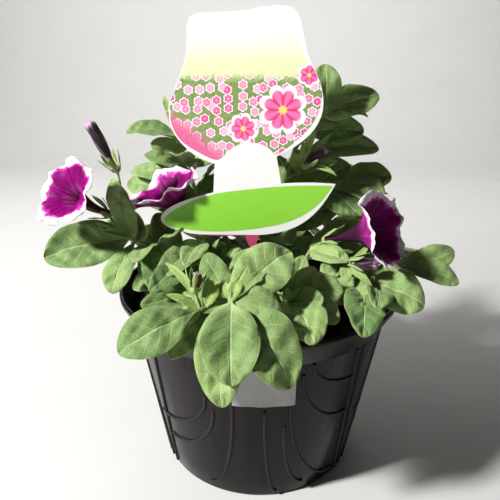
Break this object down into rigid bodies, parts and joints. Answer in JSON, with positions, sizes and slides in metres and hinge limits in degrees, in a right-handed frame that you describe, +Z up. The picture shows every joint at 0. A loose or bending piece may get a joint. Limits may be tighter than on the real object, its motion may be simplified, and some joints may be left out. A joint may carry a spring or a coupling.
{
  "type": "petunia hanging basket",
  "caption": "A bushy petunia in a tapered moulded plastic hanging-basket pot that stands on its flat base, with open ruffled blooms, closed buds and a tall picture tag staked in the soil",
  "frame": {"origin": "centre of the underside of the pot's flat base, on the surface that the pot stands on", "axes": "+Z up, -Y towards the front that the tag faces, +X to the viewer's right as seen from the front"},
  "size_m": [0.3313, 0.295, 0.39],
  "materials": {
    "pot_plastic": "black moulded plastic, semi-gloss",
    "potting_soil": null,
    "foliage": null,
    "petal": null,
    "bud_petal": null,
    "tag_plastic": null,
    "label_paper": "blank white self-adhesive paper"
  },
  "bodies": {
    "root": {"pot": "pot_plastic", "soil": "potting_soil", "leafy_stem_front": "foliage", "leafy_stem_front_right": "foliage", "leafy_stem_right": "foliage", "leafy_stem_upper_right": "foliage", "leafy_stem_upper_left": "foliage", "leafy_stem_left": "foliage", "leafy_stem_middle": "foliage", "leafy_stem_centre": "foliage", "leafy_stem_back": "foliage", "leafy_stem_back_left": "foliage", "leafy_stem_back_right": "foliage", "bloom_left": "petal", "bloom_middle": "petal", "bloom_right": "petal", "bud_left": "bud_petal", "bud_upper_right": "bud_petal", "bud_right": "bud_petal", "bud_front": "bud_petal", "plant_tag": "tag_plastic", "pot_label": "label_paper"}
  },
  "joints": []
}
